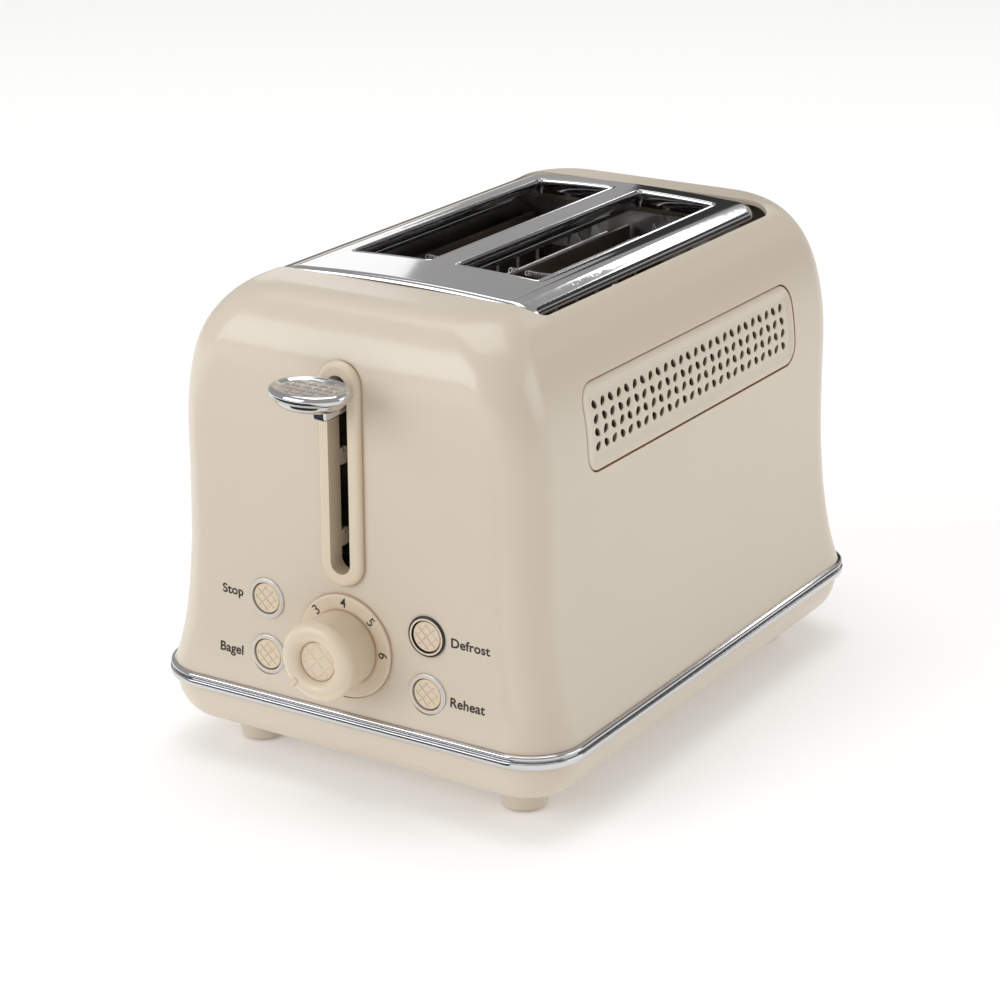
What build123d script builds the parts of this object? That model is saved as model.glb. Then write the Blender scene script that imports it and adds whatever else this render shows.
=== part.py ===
from build123d import *
from math import cos, radians, sin, sqrt
import os

# Pop up toaster. Millimetres, +Z up, the controls face -Y, the floor is Z = 0.
# The origin lies on the floor under the middle of the whole object. The body's own
# middle is mid_y behind it, because the lever knob stands out further than the tray pull.

# ---- Body ---------------------------------------------------------------
mid_y = 11.75
half_w = 86.0
half_l = 133.7
corner_r = 19.6
wall = 2.2
shell_top = 205.2
side_round_w = 32.8
side_round_h = 62.5
end_round_h = 29.0
front_round_d = 23.0
rear_round_d = 14.0
flare_side = 11.2
flare_side_top = 146.0
flare_side_power = 3.5
flare_end = 3.0
flare_end_top = 54.0
flare_end_power = 1.5
band_top = 38.1
band_bottom = 32.0
band_out = 2.4
pan_bottom = 14.7
pan_round = 10.6
pan_wall = 2.5

# ---- Top plate and bread slots -------------------------------------------
opening_w = 130.0
opening_front = -93.0
opening_rear = 106.0
plate_half_w = 60.4
plate_front = -91.0
plate_rear = 101.5
plate_top = 207.2
plate_arch = 1.6
plate_flat_w = 48.0
plate_edge_top = 202.0
plate_bottom = 199.6
sheet = 0.9
slot_mid_x = 25.7
slot_w = 38.0
slot_front = -60.0
slot_rear = 89.5
rim_w = 1.2
rim_rise = 0.45

# ---- Front controls ------------------------------------------------------
lever_slot_w = 9.4
lever_slot_low = 97.0
lever_slot_high = 179.5
escutcheon_w = 19.6
escutcheon_border = 5.3
escutcheon_rise = 3.0
sleeve_depth = 5.0
snap_tab_reach = 9.8
snap_tab_h = 6.8
dial_z = 65.7
dial_ring_r = 22.0
dial_ring_rise = 1.7
dial_base_r = 15.5
dial_rim_r = 16.6
dial_length = 21.0
dial_dish_r = 8.2
button_x = 38.9
button_high = 78.0
button_low = 53.4
bezel_r = 8.5
bezel_bore_r = 6.85
button_r = 6.5
button_travel = 2.5

# ---- Side vents ----------------------------------------------------------
vent_mid_z = 157.8
vent_l = 181.0
vent_h = 36.4
vent_corner = 9.0
vent_gap = 0.4
vent_recess = 0.9
vent_columns = 26
vent_rows = 4
vent_pitch_y = 6.42
vent_pitch_z = 5.5
leaf_half_w = 1.25
leaf_half_l = 2.3

# ---- Inside --------------------------------------------------------------
chamber_front = -66.0
chamber_rear = 96.0
chassis_t = 1.0
chassis_low = 28.0
chassis_high = 196.0
chassis_half_w = 57.0
board_x = 49.5
board_low = 52.0
board_high = 190.0
guide_pivot_z = 48.0
guide_x = 17.3
guide_top = 186.0
rod_x = -17.0
rod_y = -90.0
rod_r = 2.5
bracket_y = -84.0
rack_z = 112.0
rack_h = 8.0
carriage_travel = 64.0
pcb_y = -111.0

# ---- Lever knob ----------------------------------------------------------
knob_y = -154.0
knob_low = 171.0
knob_high = 179.6
knob_half_x = 17.6
knob_half_y = 13.5

# ---- Foot and tray -------------------------------------------------------
foot_x = 65.6
foot_y = 104.0
foot_top_r = 12.5
foot_bottom_r = 9.0
tray_half_w = 55.0
tray_low = 18.6
tray_wall = 1.0
gland_x = 66.0
gland_z = 24.0

os.makedirs("parts", exist_ok=True)
signs = (-1, 1)


def level(z, y=0.0):
    """Horizontal working plane at height z, with its origin y from the body's middle."""
    return Plane(origin=(0, mid_y + y, z))


def facing(y):
    """Upright plane across the body at y: local Y is up and extrusion runs towards the front."""
    return Plane(origin=(0, mid_y + y, 0), x_dir=(1, 0, 0), z_dir=(0, -1, 0))


def sideways(x):
    """Upright plane along the body at x: local X is +Y, local Y is up, extrusion runs to +X."""
    return Plane(origin=(x, mid_y, 0), x_dir=(0, 1, 0), z_dir=(1, 0, 0))


def block(x, y, z, mode=Mode.ADD):
    """A square-edged block in the part being built, given by its ranges about the body's middle."""
    centre = ((x[0] + x[1]) / 2, mid_y + (y[0] + y[1]) / 2, (z[0] + z[1]) / 2)
    with Locations(centre):
        Box(x[1] - x[0], y[1] - y[0], z[1] - z[0], mode=mode)


def rod_along_y(x, y, z, radius, mode=Mode.ADD):
    """A round rod lying along Y between the two values of y."""
    with Locations(Location((x, mid_y + (y[0] + y[1]) / 2, z), (90, 0, 0))):
        Cylinder(radius, y[1] - y[0], mode=mode)


def save(piece, name):
    """Label a finished piece and write it to its own file."""
    piece.part.label = name
    export_step(piece.part, f"parts/{name}.step")


def curve_in(rise, height, depth):
    """How far a quarter ellipse has come in at a given rise above its start."""
    share = min(max(rise, 0.0) / height, 1.0)
    return depth * (1 - sqrt(1 - share**2))


def flare_out(z, top, power, amount):
    """How far the wall has spread out at height z, below the height where its flare starts."""
    return amount * (max(0.0, top - z) / (top - band_top)) ** power


def body_section(z, inset=0.0):
    """Half width, front and rear limits and corner radius of the body at height z."""
    side_rise = z - (shell_top - side_round_h)
    end_rise = z - (shell_top - end_round_h)
    side_out = flare_out(z, flare_side_top, flare_side_power, flare_side)
    end_out = flare_out(z, flare_end_top, flare_end_power, flare_end)
    x = half_w + side_out - inset - curve_in(side_rise, side_round_h - inset, side_round_w - inset)
    front = half_l + end_out - inset - curve_in(end_rise, end_round_h - inset, front_round_d - inset)
    rear = half_l + end_out - inset - curve_in(end_rise, end_round_h - inset, rear_round_d - inset)
    return x, -front, rear, corner_r + min(side_out, end_out) - inset


def body_form(inset=0.0):
    """The body's outer form as one solid, moved inwards by inset on every side but the open bottom."""
    heights = [band_top, 43, 48, 54, 60, 67, 76, 88, 104, 124, shell_top - side_round_h]
    start = shell_top - side_round_h
    heights += [start + (side_round_h - inset) * sin(radians(t)) for t in (14, 26, 36, 46, 56, 65, 73, 80, 86, 90)]
    with BuildPart() as form:
        for z in heights:
            x, front, rear, radius = body_section(z, inset)
            with BuildSketch(level(z, (front + rear) / 2)):
                RectangleRounded(2 * x, rear - front, radius)
        loft()
    return form.part


def waffle(plane, reach, spacing, count, width, depth, turn):
    """Crossed grooves cut square into the face on the given plane, kept inside a circle of radius reach."""
    with BuildSketch(plane, mode=Mode.PRIVATE) as lines:
        for angle in (turn, turn + 90):
            for i in range(count):
                offset_by = (i - (count - 1) / 2) * spacing
                shift = (-offset_by * sin(radians(angle)), offset_by * cos(radians(angle)))
                with Locations(shift):
                    Rectangle(2 * reach, width, rotation=angle)
        Circle(reach, mode=Mode.INTERSECT)
    return extrude(lines.sketch, amount=depth, both=True, mode=Mode.PRIVATE)


outer_form = body_form()
inner_form = body_form(wall)

# ---- Outer shell: a thin skin with the top opening and the openings of the controls ----
lever_mid_z = (lever_slot_low + lever_slot_high) / 2
lever_slot_h = lever_slot_high - lever_slot_low
button_places = [(x * button_x, z) for x in signs for z in (button_high, button_low)]
opening_mid_y = (opening_front + opening_rear) / 2
opening_l = opening_rear - opening_front

with BuildPart() as outer_shell:
    add(outer_form)
    add(inner_form, mode=Mode.SUBTRACT)
    with BuildSketch(level(shell_top - 12, opening_mid_y)):
        RectangleRounded(opening_w, opening_l, 8)
    extrude(amount=30, mode=Mode.SUBTRACT)
    with BuildSketch(facing(-half_l)):
        with Locations((0, lever_mid_z)):
            SlotOverall(lever_slot_h + 4, lever_slot_w + 4, rotation=90)
        with Locations((0, dial_z)):
            Circle(7)
        with Locations(*button_places):
            Circle(bezel_r - 0.9)
    extrude(amount=6, both=True, mode=Mode.SUBTRACT)
    with BuildSketch(facing(-half_l)):
        with Locations((0, lever_mid_z)):
            SlotOverall(lever_slot_h + 2 * escutcheon_border + 0.2, escutcheon_w + 0.2, rotation=90)
        with Locations((0, dial_z)):
            Circle(dial_ring_r + 0.1)
        with Locations(*button_places):
            Circle(bezel_r + 0.1)
    extrude(amount=5, mode=Mode.SUBTRACT)
    with BuildSketch(sideways(0)):
        with Locations((0, vent_mid_z)):
            RectangleRounded(vent_l, vent_h, vent_corner)
    extrude(amount=half_w + 5, both=True, mode=Mode.SUBTRACT)
save(outer_shell, "outer_shell")

# ---- Vent panels: the two windows' own piece of skin, with a sunk field of leaf-shaped holes ----
vent_places = [
    (
        (column - (vent_columns - 1) / 2) * vent_pitch_y,
        vent_mid_z + (row - (vent_rows - 1) / 2) * vent_pitch_z,
        column,
        row,
    )
    for column in range(vent_columns)
    for row in range(vent_rows)
]
for side, side_name in ((-1, "left"), (1, "right")):
    with BuildPart() as vent_panel:
        add(outer_form)
        add(inner_form, mode=Mode.SUBTRACT)
        with BuildSketch(sideways(side * 60)):
            with Locations((0, vent_mid_z)):
                RectangleRounded(vent_l - 2 * vent_gap, vent_h - 2 * vent_gap, vent_corner - vent_gap)
        extrude(amount=side * 40, mode=Mode.INTERSECT)
        with BuildPart(mode=Mode.PRIVATE) as field:
            with BuildSketch(sideways(side * 60)):
                with Locations((0, vent_mid_z)):
                    RectangleRounded(vent_l - 10, vent_h - 9, vent_corner - 4)
            extrude(amount=side * 40)
            add(body_form(vent_recess), mode=Mode.SUBTRACT)
        add(field.part, mode=Mode.SUBTRACT)
        with BuildSketch(sideways(side * 60)):
            for y, z, column, row in vent_places:
                lean = 45 if (column + row) % 2 else -45
                with Locations((y, z)):
                    Ellipse(leaf_half_w, leaf_half_l, rotation=lean)
        extrude(amount=side * 40, mode=Mode.SUBTRACT)
    save(vent_panel, f"vent_panel_{side_name}")

# ---- Top plate: a pressed sheet cap, flat between the slots and rolled down at the sides ----
plate_mid_y = (plate_front + plate_rear) / 2
slot_mid_y = (slot_front + slot_rear) / 2
slot_l = slot_rear - slot_front


def plate_form(inset):
    """The cap as a solid with a gently arched top, moved inwards by inset."""
    half, top = plate_half_w - inset, plate_top - inset
    crease = top - plate_arch
    side_x, side_z = half + 2.0, plate_edge_top - inset - 1.6
    shoulder_x, shoulder_z = (plate_flat_w + half) / 2, crease - 0.75
    with BuildPart() as form:
        with BuildSketch(facing(plate_front - 3)):
            with BuildLine():
                Polyline((-side_x, side_z), (-side_x, plate_bottom - 3), (side_x, plate_bottom - 3), (side_x, side_z))
                ThreePointArc((side_x, side_z), (shoulder_x, shoulder_z), (plate_flat_w, crease))
                ThreePointArc((plate_flat_w, crease), (0, top), (-plate_flat_w, crease))
                ThreePointArc((-plate_flat_w, crease), (-shoulder_x, shoulder_z), (-side_x, side_z))
            make_face()
        extrude(amount=-(plate_rear - plate_front + 6))
        with BuildSketch(level(plate_bottom, plate_mid_y)):
            RectangleRounded(2 * half, plate_rear - plate_front - 2 * inset, 7 - inset)
        extrude(amount=20, mode=Mode.INTERSECT)
    return form.part


slot_places = ((-slot_mid_x, 0), (slot_mid_x, 0))
with BuildPart() as slot_rims:
    with BuildSketch(level(plate_bottom, slot_mid_y)):
        with Locations(*slot_places):
            RectangleRounded(slot_w + 2 * rim_w, slot_l + 2 * rim_w, 1.8 + rim_w)
    extrude(amount=20)
    add(plate_form(-rim_rise), mode=Mode.INTERSECT)

with BuildPart() as top_plate:
    add(plate_form(0.0))
    with BuildPart(mode=Mode.PRIVATE) as hollow:
        add(plate_form(sheet))
        with BuildSketch(level(plate_bottom - 1, plate_mid_y)):
            RectangleRounded(2 * (plate_half_w - sheet), plate_rear - plate_front - 2 * sheet, 7 - sheet)
        extrude(amount=3)
    add(hollow.part, mode=Mode.SUBTRACT)
    add(slot_rims.part)
    with BuildSketch(level(plate_bottom - 1, slot_mid_y)):
        with Locations(*slot_places):
            RectangleRounded(slot_w, slot_l, 1.8)
    extrude(amount=30, mode=Mode.SUBTRACT)
save(top_plate, "top_plate")

# ---- Trim band: a two-step chrome ring between the shell and the base ----
with BuildPart() as base_trim_band:
    foot_half_w = half_w + flare_side
    foot_half_l = half_l + flare_end
    foot_corner = corner_r + flare_end
    for low, high, out in ((band_bottom, 35.4, band_out), (35.4, 36.2, 1.1), (36.2, band_top, band_out - 0.5)):
        with BuildSketch(level(low)):
            RectangleRounded(2 * (foot_half_w + out), 2 * (foot_half_l + out), foot_corner + out)
            RectangleRounded(2 * (foot_half_w - 4), 2 * (foot_half_l - 4), foot_corner - 4, mode=Mode.SUBTRACT)
        extrude(amount=high - low)
    outer_edges = base_trim_band.faces().sort_by(Axis.Z)[0].outer_wire().edges()
    fillet(outer_edges, radius=1.2)
save(base_trim_band, "base_trim_band")

# ---- Base housing: a pan with a hull-like underside, ribs for the tray and an opening behind ----


def pan_form(inset):
    """The pan's outer form, open rim upwards, moved inwards by inset."""
    depth = band_bottom - pan_bottom - inset
    round_in = pan_round - inset / 2
    with BuildPart() as form:
        for t in (90, 80, 68, 55, 42, 28, 14, 0):
            shift = inset + 0.5 + round_in * (1 - cos(radians(t)))
            with BuildSketch(level(band_bottom - depth * sin(radians(t)))):
                RectangleRounded(2 * (foot_half_w - shift), 2 * (foot_half_l - shift), foot_corner - 0.6 * shift)
        loft()
    return form.part


with BuildPart() as base_housing:
    add(pan_form(0.0))
    add(pan_form(pan_wall), mode=Mode.SUBTRACT)
    floor = pan_bottom + pan_wall
    for side in signs:
        block((side * 30 - 2, side * 30 + 2), (-60, 120), (floor - 0.5, tray_low - 0.3))
    block((-tray_half_w - 0.6, tray_half_w + 0.6), (118, 145), (tray_low - 0.8, 29.6), mode=Mode.SUBTRACT)
    rod_along_y(gland_x, (120, 145), gland_z, 4.0, mode=Mode.SUBTRACT)
save(base_housing, "base_housing")

# ---- Cord gland: the flanged bush that the cord would leave by ----
with BuildPart() as cord_gland:
    rod_along_y(gland_x, (128, 137), gland_z, 3.9)
    rod_along_y(gland_x, (136.4, 139), gland_z, 5.6)
    rod_along_y(gland_x, (120, 145), gland_z, 2.8, mode=Mode.SUBTRACT)
save(cord_gland, "cord_gland")

# ---- Feet: hollow cones under the pan, each with a rubber pad let into its end ----
for x_sign, x_name in ((-1, "left"), (1, "right")):
    for y_sign, y_name in ((-1, "front"), (1, "rear")):
        under = Plane(origin=(x_sign * foot_x, mid_y + y_sign * foot_y, 0))
        with BuildPart() as foot:
            with BuildSketch(under.offset(0.8)):
                Circle(foot_bottom_r)
            with BuildSketch(under.offset(pan_bottom)):
                Circle(foot_top_r)
            loft()
            fillet(foot.edges().sort_by(Axis.Z)[0], radius=1.0)
            with BuildSketch(under):
                Circle(6.7)
            extrude(amount=3.2, mode=Mode.SUBTRACT)
        save(foot, f"foot_{y_name}_{x_name}")
        with BuildPart() as foot_pad:
            with BuildSketch(under):
                Circle(6.6)
            extrude(amount=3.2)
            fillet(foot_pad.edges().sort_by(Axis.Z)[0], radius=0.4)
        save(foot_pad, f"foot_pad_{y_name}_{x_name}")

# ---- Lever escutcheon: a raised oblong ring with a deep sleeve that snaps in from the front ----
with BuildPart() as lever_escutcheon:
    with BuildSketch(facing(-half_l)):
        with Locations((0, lever_mid_z)):
            SlotOverall(lever_slot_h + 2 * escutcheon_border, escutcheon_w, rotation=90)
    extrude(amount=escutcheon_rise)
    fillet(lever_escutcheon.faces().sort_by(Axis.Y)[0].edges(), radius=2.2)
    with BuildSketch(facing(-half_l)):
        with Locations((0, lever_mid_z)):
            SlotOverall(lever_slot_h + 3.6, lever_slot_w + 3.6, rotation=90)
    extrude(amount=-sleeve_depth)
    with BuildSketch(facing(-half_l + sleeve_depth)):
        with Locations((0, lever_mid_z)):
            SlotOverall(lever_slot_h, lever_slot_w, rotation=90)
    extrude(amount=20, mode=Mode.SUBTRACT)
    for tab_z in (109.0, 143.0, 172.0):
        for side in signs:
            tab_x = sorted((side * lever_slot_w / 2, side * (lever_slot_w / 2 + 1.7)))
            tab_z_range = (tab_z - snap_tab_h / 2, tab_z + snap_tab_h / 2)
            block(tab_x, (-half_l + sleeve_depth - 1, -half_l + snap_tab_reach), tab_z_range)
            block(tab_x, (-half_l + 7.4, -half_l + snap_tab_reach - 1.2), (tab_z + 1.4, tab_z + 4), mode=Mode.SUBTRACT)
save(lever_escutcheon, "lever_escutcheon")

# ---- Dial ring: the raised flat ring that carries the numbers ----
with BuildPart() as dial_ring:
    with BuildSketch(facing(-half_l)):
        with Locations((0, dial_z)):
            Circle(dial_ring_r)
            Circle(6.8, mode=Mode.SUBTRACT)
    extrude(amount=dial_ring_rise)
    fillet(dial_ring.faces().sort_by(Axis.Y)[0].outer_wire().edges(), radius=0.9)
save(dial_ring, "dial_ring")

# ---- Buttons, their bezels and the switches behind them ----
button_names = {
    (-button_x, button_high): "stop",
    (-button_x, button_low): "bagel",
    (button_x, button_high): "defrost",
    (button_x, button_low): "reheat",
}
button_face = -half_l - 0.5
switch_tip_y = pcb_y - 5
for (x, z), name in button_names.items():
    with BuildPart() as bezel:
        with BuildSketch(facing(-half_l)):
            with Locations((x, z)):
                Circle(bezel_r)
        extrude(amount=0.9)
        fillet(bezel.faces().sort_by(Axis.Y)[0].edges(), radius=0.4)
        with BuildSketch(facing(-half_l)):
            with Locations((x, z)):
                Circle(bezel_r - 1.0)
        extrude(amount=-5)
        with BuildSketch(facing(-half_l + 6)):
            with Locations((x, z)):
                Circle(bezel_bore_r)
        extrude(amount=10, mode=Mode.SUBTRACT)
    save(bezel, f"bezel_{name}")
    with BuildPart() as button:
        with BuildSketch(facing(button_face)):
            with Locations((x, z)):
                Circle(button_r)
        extrude(amount=-6)
        fillet(button.faces().sort_by(Axis.Y)[0].edges(), radius=0.8)
        with BuildSketch(facing(button_face + 6)):
            with Locations((x, z)):
                Circle(2.2)
        extrude(amount=-(switch_tip_y - button_travel - 0.4 - button_face - 6))
        face_plane = Plane(origin=(x, mid_y + button_face, z), x_dir=(1, 0, 0), z_dir=(0, -1, 0))
        add(waffle(face_plane, 5.2, 3.1, 3, 0.35, 0.25, 45), mode=Mode.SUBTRACT)
    save(button, f"button_{name}")
    with BuildPart() as switch:
        block((x - 3, x + 3), (pcb_y - 4, pcb_y), (z - 3, z + 3))
        rod_along_y(x, (switch_tip_y, pcb_y - 3), z, 1.6)
    save(switch, f"switch_{name}")

# ---- Dial knob and shaft ----
dial_base_y = -half_l - dial_ring_rise - 0.2
with BuildPart() as dial_knob:
    dial_axis = Axis((0, mid_y, dial_z), (0, 1, 0))
    profile_plane = Plane(origin=(0, mid_y + dial_base_y, dial_z), x_dir=(1, 0, 0), z_dir=(0, 0, -1))
    with BuildSketch(profile_plane):
        with BuildLine():
            Polyline((dial_dish_r, dial_length - 3.4), (0, dial_length - 3.4), (0, 0), (dial_base_r, 0),
                     (dial_rim_r, dial_length - 6))
            ThreePointArc((dial_rim_r, dial_length - 6), (12.6, dial_length), (dial_dish_r, dial_length - 3.4))
        make_face()
    revolve(axis=dial_axis)
    pointer = 14.2 / sqrt(2)
    with Locations(Location((-pointer, mid_y + dial_base_y - dial_length + 1.9, dial_z - pointer), (0, 135, 0))):
        Box(4.6, 4.4, 1.9)
    dish_plane = Plane(origin=(0, mid_y + dial_base_y - dial_length + 3.4, dial_z), x_dir=(1, 0, 0),
                       z_dir=(0, -1, 0))
    add(waffle(dish_plane, dial_dish_r - 0.4, 5.2, 3, 0.4, 0.35, 45), mode=Mode.SUBTRACT)
    rod_along_y(0, (dial_base_y - 10, dial_base_y + 5), dial_z, 3.0, mode=Mode.SUBTRACT)
save(dial_knob, "dial_knob")

with BuildPart() as dial_shaft:
    rod_along_y(0, (dial_base_y - 10, pcb_y - 2), dial_z, 3.0)
save(dial_shaft, "dial_shaft")

# ---- Control board on two legs, and the potentiometer that the dial turns ----
with BuildPart() as control_board:
    block((-62, 62), (pcb_y, pcb_y + 1.6), (44, 94))
    for side in signs:
        block((side * 57 - 3, side * 57 + 3), (pcb_y, pcb_y + 1.6), (pan_bottom + pan_wall, 44))
save(control_board, "control_board")

with BuildPart() as dial_potentiometer:
    block((-9, 9), (pcb_y - 9, pcb_y), (dial_z - 9, dial_z + 9))
    rod_along_y(0, (pcb_y - 12, pcb_y - 1), dial_z, 3.06, mode=Mode.SUBTRACT)
save(dial_potentiometer, "dial_potentiometer")

# ---- Chassis: front and rear plates with a slot for each rack and a hole for each guide's pivot ----
for y, name in ((chamber_front, "front"), (chamber_rear - chassis_t, "rear")):
    with BuildPart() as chassis:
        block((-chassis_half_w, chassis_half_w), (y, y + chassis_t), (chassis_low, chassis_high))
        for side in signs:
            middle = side * slot_mid_x
            rack_slot_z = (rack_z - carriage_travel - 1.5, rack_z + rack_h + 2.5)
            block((middle - 1.3, middle + 1.3), (y - 1, y + 2), rack_slot_z, mode=Mode.SUBTRACT)
            for shift in (-guide_x, guide_x):
                rod_along_y(middle + shift, (y - 1, y + 2), guide_pivot_z, 1.28, mode=Mode.SUBTRACT)
        if name == "front":
            block((-4, 4), (y - 13, y), (192, 193.2))
    save(chassis, f"chassis_{name}")

# ---- Reflectors: the sheets that close the toasting chamber's sides ----
for side, name in ((-1, "left"), (1, "right")):
    with BuildPart() as reflector:
        inner = side * chassis_half_w
        block(sorted((inner, inner + side * 0.8)), (chamber_front, chamber_rear), (chassis_low, chassis_high))
    save(reflector, f"reflector_{name}")

# ---- Heater boards and their ribbons ----
board_y = (-62.0, 92.0)
for x, half_t, name in ((-board_x, 0.5, "left"), (0, 0.75, "middle"), (board_x, 0.5, "right")):
    with BuildPart() as heater_board:
        block((x - half_t, x + half_t), board_y, (board_low, board_high))
    save(heater_board, f"heater_board_{name}")

ribbon_t = 0.6
ribbon_rows = 10
ribbon_pitch = 13.0
ribbon_faces = {
    "left_outer": (-board_x + 0.5, 1),
    "left_inner": (-0.75, -1),
    "right_inner": (0.75, 1),
    "right_outer": (board_x - 0.5, -1),
}
for name, (face_x, direction) in ribbon_faces.items():
    with BuildPart() as heater_ribbon:
        thick = sorted((face_x, face_x + direction * ribbon_t))
        for row in range(ribbon_rows):
            z = board_low + 8 + row * ribbon_pitch
            block(thick, (-56, 86), (z, z + 2.4))
            if row < ribbon_rows - 1:
                end_y = (83.6, 86) if row % 2 else (-56, -53.6)
                block(thick, end_y, (z, z + ribbon_pitch + 2.4))
    save(heater_ribbon, f"heater_ribbon_{name}")

# ---- Bread guides: wire cages that tilt about their bottom rods ----
for side, side_name in ((-1, "left"), (1, "right")):
    for shift, place_name in ((side * guide_x, "outer"), (-side * guide_x, "inner")):
        x = side * slot_mid_x + shift
        with BuildPart() as bread_guide:
            rod_along_y(x, (chamber_front - 2, chamber_rear + 2), guide_pivot_z, 1.2)
            rod_along_y(x, (-57, 87), guide_top, 1.0)
            for i in range(9):
                with Locations((x, mid_y - 54 + i * 17.25, (guide_pivot_z + guide_top) / 2)):
                    Cylinder(0.8, guide_top - guide_pivot_z)
        save(bread_guide, f"bread_guide_{side_name}_{place_name}")

# ---- Carriage: bracket, racks, lever arm, armature and spring ----
bracket_low = rack_z
bracket_high = rack_z + 16
with BuildPart() as carriage_bracket:
    block((-34, 34), (bracket_y - 1.6, bracket_y), (bracket_low, bracket_high))
    block((rod_x - 3, rod_x + 3), (rod_y, bracket_y - 1), (bracket_low, bracket_high))
    with Locations((rod_x, mid_y + rod_y, (bracket_low + bracket_high) / 2)):
        Cylinder(4.8, bracket_high - bracket_low)
        Cylinder(rod_r + 0.05, 30, mode=Mode.SUBTRACT)
    block((10, 28), (bracket_y - 14, bracket_y - 1), (bracket_low, bracket_low + 1.2))
    block((-4, 4), (bracket_y - 1, bracket_y + 13), (bracket_high - 1.2, bracket_high))
save(carriage_bracket, "carriage_bracket")

for side, name in ((-1, "left"), (1, "right")):
    middle = side * slot_mid_x
    with BuildPart() as bread_rack:
        block((middle - 0.6, middle + 0.6), (bracket_y, chamber_rear + 3), (rack_z, rack_z + rack_h))
        for i in range(8):
            y = -50 + i * 19
            block((middle - 7, middle + 7), (y - 1.2, y + 1.2), (rack_z + rack_h - 1, rack_z + rack_h + 0.6))
    save(bread_rack, f"bread_rack_{name}")

neck_end_y = -128.0
with BuildPart() as lever_arm:
    block((-2.6, 2.6), (neck_end_y, -102.4), (165, 171))
    block((-5, 5), (-104, -102.4), (bracket_low + 4, 171))
    block((-5, 5), (-104, bracket_y - 1.6), (bracket_low + 4, bracket_low + 5.6))
save(lever_arm, "lever_arm")

with BuildPart() as lever_knob:
    with BuildSketch(level(knob_low, knob_y)):
        Ellipse(knob_half_x, knob_half_y)
    extrude(amount=knob_high - knob_low)
    fillet(lever_knob.edges().sort_by(Axis.Z)[0], radius=4.6)
    fillet(lever_knob.edges().sort_by(Axis.Z)[-1], radius=2.4)
    with BuildSketch(level(knob_high, knob_y)):
        Ellipse(knob_half_x - 6.3, knob_half_y - 3.4)
    extrude(amount=-1.0, mode=Mode.SUBTRACT)
    add(waffle(level(knob_high - 1.0, knob_y), 9.6, 5.0, 3, 0.5, 0.35, 0), mode=Mode.SUBTRACT)
    block((-3.2, 3.2), (-149, neck_end_y), (164, knob_low + 1))
save(lever_knob, "lever_knob")

with BuildPart() as armature_plate:
    block((11, 27), (bracket_y - 13, bracket_y - 2), (bracket_low - 3, bracket_low))
save(armature_plate, "armature_plate")

spring_low = bracket_high + 0.5
with BuildPart() as carriage_spring:
    with BuildLine(Plane(origin=(0, mid_y + bracket_y + 8, spring_low))):
        coil = Helix(pitch=4.2, height=63, radius=3.6)
    with BuildSketch(Plane(origin=coil @ 0, z_dir=coil % 0)):
        Circle(0.5)
    sweep(path=coil)
save(carriage_spring, "carriage_spring")

with BuildPart() as guide_rod:
    with Locations((rod_x, mid_y + rod_y, (pan_bottom + pan_wall + chassis_high) / 2)):
        Cylinder(rod_r, chassis_high - pan_bottom - pan_wall)
save(guide_rod, "guide_rod")

magnet_top = bracket_low - 3 - carriage_travel - 0.4
with BuildPart() as electromagnet:
    block((9, 29), (bracket_y - 14, bracket_y - 1), (pan_bottom + pan_wall, 26))
    for x in (10, 22):
        block((x + 1, x + 5), (bracket_y - 12, bracket_y - 3), (26, magnet_top))
        block((x - 1, x + 7), (bracket_y - 14, bracket_y - 1), (27, magnet_top - 3))
save(electromagnet, "electromagnet")

# ---- Crumb tray: a shallow sheet drawer with a pull that closes the opening behind ----
with BuildPart() as crumb_tray:
    tray_x = tray_half_w - 0.5
    block((-tray_x, tray_x), (-58, 133), (tray_low, tray_low + 6.5))
    block((-tray_x + tray_wall, tray_x - tray_wall), (-57, 132), (tray_low + tray_wall, 40), mode=Mode.SUBTRACT)
save(crumb_tray, "crumb_tray")

with BuildPart() as crumb_tray_pull:
    block((-tray_half_w, tray_half_w), (133, 136), (tray_low - 0.2, 29.0))
    block((-24, 24), (135, 144), (26.4, 29.0))
    lip_edges = crumb_tray_pull.faces().sort_by(Axis.Y)[-1].edges()
    fillet(lip_edges, radius=1.0)
save(crumb_tray_pull, "crumb_tray_pull")
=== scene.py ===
import math

import bmesh
import bpy
import numpy as np
from mathutils import Matrix, Quaternion, Vector
from mathutils.geometry import delaunay_2d_cdt


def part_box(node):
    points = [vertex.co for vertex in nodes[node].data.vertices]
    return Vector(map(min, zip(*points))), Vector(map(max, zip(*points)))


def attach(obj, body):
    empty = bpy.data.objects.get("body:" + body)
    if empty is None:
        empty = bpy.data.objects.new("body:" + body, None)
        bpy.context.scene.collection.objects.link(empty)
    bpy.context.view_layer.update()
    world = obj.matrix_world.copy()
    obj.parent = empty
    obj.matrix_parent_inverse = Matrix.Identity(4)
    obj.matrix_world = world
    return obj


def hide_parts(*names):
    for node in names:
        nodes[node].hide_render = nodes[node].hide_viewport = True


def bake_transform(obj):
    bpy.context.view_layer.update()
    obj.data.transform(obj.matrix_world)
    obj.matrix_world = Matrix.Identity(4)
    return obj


# Pop up toaster: materials, fine shapes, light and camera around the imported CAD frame.
# Metres, +Z up, the controls face -Y. Positions come from the frame's own boxes.
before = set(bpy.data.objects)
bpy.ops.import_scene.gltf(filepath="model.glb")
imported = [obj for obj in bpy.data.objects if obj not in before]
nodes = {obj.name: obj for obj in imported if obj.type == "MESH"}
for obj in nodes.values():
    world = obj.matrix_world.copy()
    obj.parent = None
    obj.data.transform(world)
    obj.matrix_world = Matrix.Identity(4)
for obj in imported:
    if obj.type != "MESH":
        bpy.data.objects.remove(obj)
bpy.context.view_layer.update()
MM = 0.001


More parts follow.
